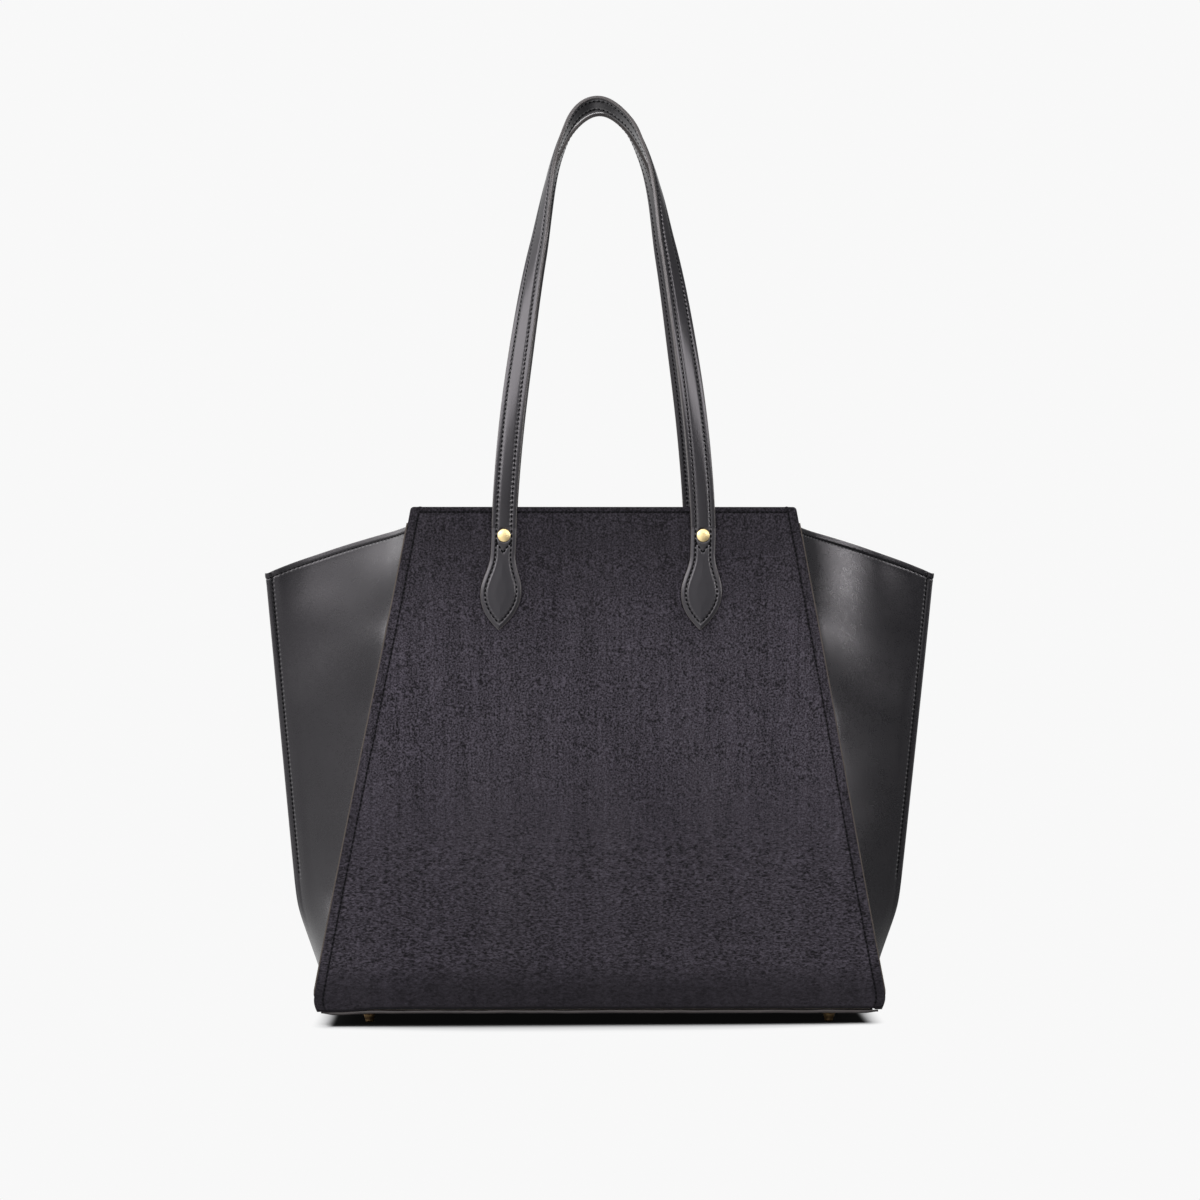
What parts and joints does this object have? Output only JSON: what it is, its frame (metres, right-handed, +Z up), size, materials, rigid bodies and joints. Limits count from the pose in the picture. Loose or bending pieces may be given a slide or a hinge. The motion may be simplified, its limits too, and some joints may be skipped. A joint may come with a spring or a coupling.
{
  "type": "tote bag",
  "caption": "Structured suede tote bag with smooth leather side wings, looped strap handles on riveted leaf tabs and metal base feet.",
  "frame": {"origin": "on the floor, under the middle of the bag", "axes": "-Y towards the front panel, +X towards the right wing as seen from the front, +Z up"},
  "size_m": [0.4536, 0.1504, 0.6196],
  "materials": {
    "suede": "dark purple-black suede with a short brushed nap",
    "smooth_leather": "black smooth leather, soft satin gloss",
    "lining_fabric": "woven dark lining",
    "stiffener_board": "bonded leather board",
    "gilt_brass": "polished pale gold",
    "aged_brass": "antique brass",
    "nickelled_steel": "satin nickel"
  },
  "bodies": {
    "bag": {"front_panel": "suede", "back_panel": "suede", "left_gusset": "smooth_leather", "right_gusset": "smooth_leather", "base_panel": "smooth_leather", "front_piping": "smooth_leather", "back_piping": "smooth_leather", "front_facing": "smooth_leather", "back_facing": "smooth_leather", "front_left_leaf_tab": "smooth_leather", "front_right_leaf_tab": "smooth_leather", "back_left_leaf_tab": "smooth_leather", "back_right_leaf_tab": "smooth_leather", "front_lining": "lining_fabric", "back_lining": "lining_fabric", "left_gusset_lining": "lining_fabric", "right_gusset_lining": "lining_fabric", "base_lining": "lining_fabric", "inner_slip_pocket": "lining_fabric", "front_stiffener": "stiffener_board", "back_stiffener": "stiffener_board", "base_board": "stiffener_board", "front_left_rivet": "gilt_brass", "front_right_rivet": "gilt_brass", "back_left_rivet": "gilt_brass", "back_right_rivet": "gilt_brass", "front_left_rivet_back": "gilt_brass", "front_right_rivet_back": "gilt_brass", "back_left_rivet_back": "gilt_brass", "back_right_rivet_back": "gilt_brass", "front_left_foot": "aged_brass", "front_right_foot": "aged_brass", "back_left_foot": "aged_brass", "back_right_foot": "aged_brass", "front_left_foot_washer": "nickelled_steel", "front_right_foot_washer": "nickelled_steel", "back_left_foot_washer": "nickelled_steel", "back_right_foot_washer": "nickelled_steel", "snap_stud": "nickelled_steel", "snap_socket": "nickelled_steel"},
    "front_handle": {"front_strap_face": "smooth_leather", "front_strap_filler": "stiffener_board", "front_strap_backing": "smooth_leather"},
    "back_handle": {"back_strap_face": "smooth_leather", "back_strap_filler": "stiffener_board", "back_strap_backing": "smooth_leather"}
  },
  "joints": [
    {"name": "front_handle_swing", "type": "hinge", "parent": "bag", "child": "front_handle", "pos_m": [0, -0.06683, 0.3289], "axis": [1, 0, 0], "range_deg": [0, 165]},
    {"name": "back_handle_swing", "type": "hinge", "parent": "bag", "child": "back_handle", "pos_m": [0, 0.06683, 0.3289], "axis": [-1, 0, 0], "range_deg": [0, 165]}
  ]
}
